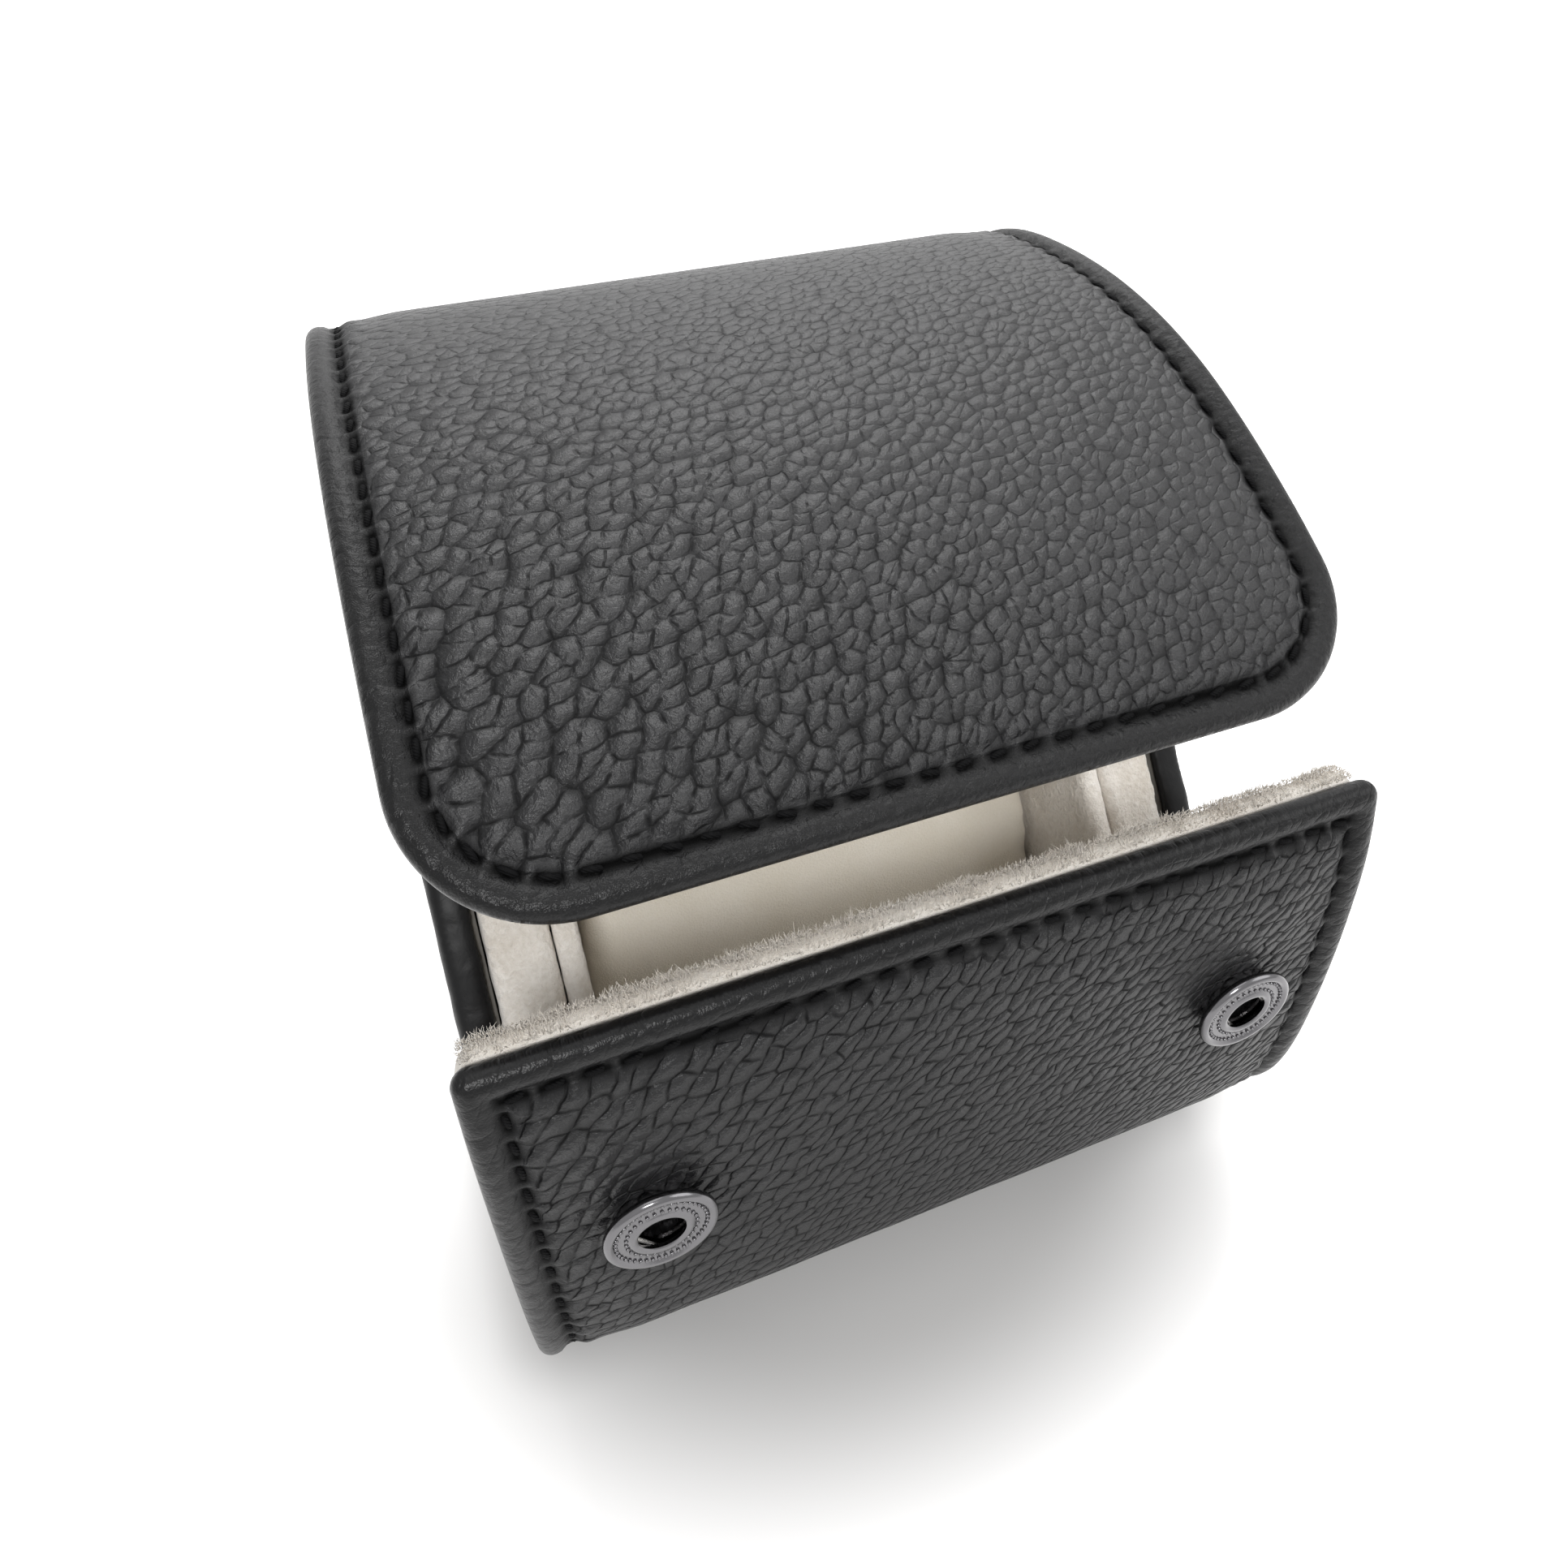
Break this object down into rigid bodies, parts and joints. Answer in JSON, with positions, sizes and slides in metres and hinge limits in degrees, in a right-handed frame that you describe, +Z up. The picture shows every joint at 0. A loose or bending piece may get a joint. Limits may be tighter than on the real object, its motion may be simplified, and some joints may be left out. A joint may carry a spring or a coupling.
{
  "type": "travel watch case",
  "caption": "Travel watch case: a lined leather wrap with a flap and front panel that close by press fasteners over a suede well with a watch pillow.",
  "frame": {"origin": "centre of the case's footprint at the floor", "axes": "+X to the right seen from the front, +Y towards the back, +Z up"},
  "size_m": [0.102, 0.1147, 0.1074],
  "materials": {
    "black_pebbled_leather": "pebbled, satin",
    "smooth_black_leather": "smooth, satin",
    "off_white_microsuede": "napped",
    "cream_microfibre": "smooth, matte",
    "grey_board": "pressed fibre board, matte",
    "white_foam": "foam",
    "dark_nickel": "dark nickel plate",
    "spring_steel": "drawn wire"
  },
  "bodies": {
    "case": {"base_leather": "black_pebbled_leather", "bottom_board": "grey_board", "back_board": "grey_board", "base_lining": "off_white_microsuede", "left_end_wall_leather": "smooth_black_leather", "right_end_wall_leather": "smooth_black_leather", "left_end_wall_board": "grey_board", "right_end_wall_board": "grey_board", "left_side_pad": "off_white_microsuede", "right_side_pad": "off_white_microsuede", "left_well_wall": "off_white_microsuede", "right_well_wall": "off_white_microsuede", "front_block": "off_white_microsuede", "back_block": "off_white_microsuede"},
    "flap": {"flap_leather": "black_pebbled_leather", "flap_board": "grey_board", "flap_lining": "off_white_microsuede", "left_stud": "dark_nickel", "right_stud": "dark_nickel", "left_stud_rivet": "dark_nickel", "right_stud_rivet": "dark_nickel"},
    "panel": {"panel_leather": "black_pebbled_leather", "panel_board": "grey_board", "panel_lining": "off_white_microsuede", "left_socket": "dark_nickel", "right_socket": "dark_nickel", "left_socket_spring": "spring_steel", "right_socket_spring": "spring_steel", "left_socket_rivet": "dark_nickel", "right_socket_rivet": "dark_nickel"},
    "pillow": {"pillow_cover": "cream_microfibre", "pillow_core": "white_foam", "pillow_left_end": "cream_microfibre", "pillow_right_end": "cream_microfibre"}
  },
  "joints": [
    {"name": "flap_fold", "type": "hinge", "parent": "case", "child": "flap", "pos_m": [0, 0.05732, 0.068], "axis": [-1, 0, 0], "range_deg": [-23.2, 60.8]},
    {"name": "panel_fold", "type": "hinge", "parent": "case", "child": "panel", "pos_m": [0, -0.0497, 0.0136], "axis": [1, 0, 0], "range_deg": [-34.5, 90]},
    {"name": "pillow_slide", "type": "slide", "parent": "case", "child": "pillow", "axis": [0, -0.7478, 0.6639], "range_m": [0, 0.0135]}
  ],
  "couplings": [
    {"joint": "panel_fold", "follows": "flap_fold", "ratio": 1.4791}
  ]
}
